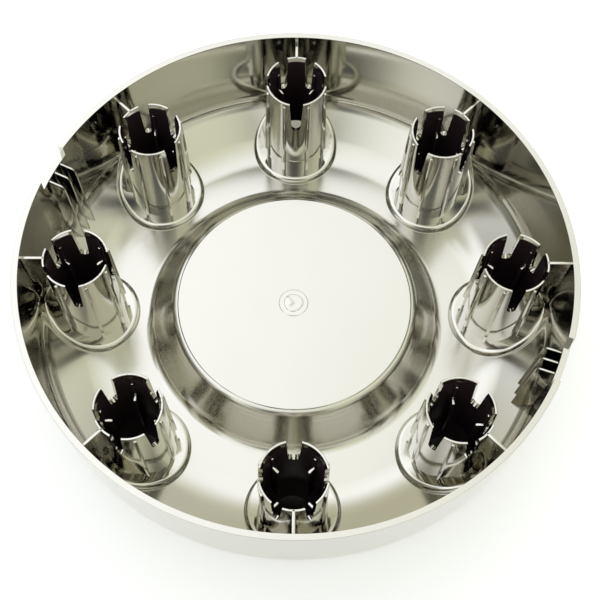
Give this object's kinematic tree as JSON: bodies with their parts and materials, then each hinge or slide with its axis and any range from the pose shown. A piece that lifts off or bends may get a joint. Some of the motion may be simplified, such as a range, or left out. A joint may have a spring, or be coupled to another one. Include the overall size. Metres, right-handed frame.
{
  "type": "dually hub cover",
  "caption": "Chrome-plated plastic cover for the hub of a dual rear wheel, with slotted sockets that snap over the wheel nuts, webs, ribs and pry notches.",
  "frame": {"origin": "under the middle of the cover, at the level of the lug crowns' tips on which it lies", "axes": "+Z points to the back of the cover, the side that goes on the wheel, and is the axle's direction; +X runs through one lug socket; +Y runs through another, a quarter turn on"},
  "size_m": [0.255, 0.255, 0.068],
  "materials": {
    "chrome_plate": "bright nickel-chrome plating on moulded ABS, mirror bright, slightly warm"
  },
  "bodies": {
    "root": {"hub_cover": "chrome_plate"}
  },
  "joints": []
}
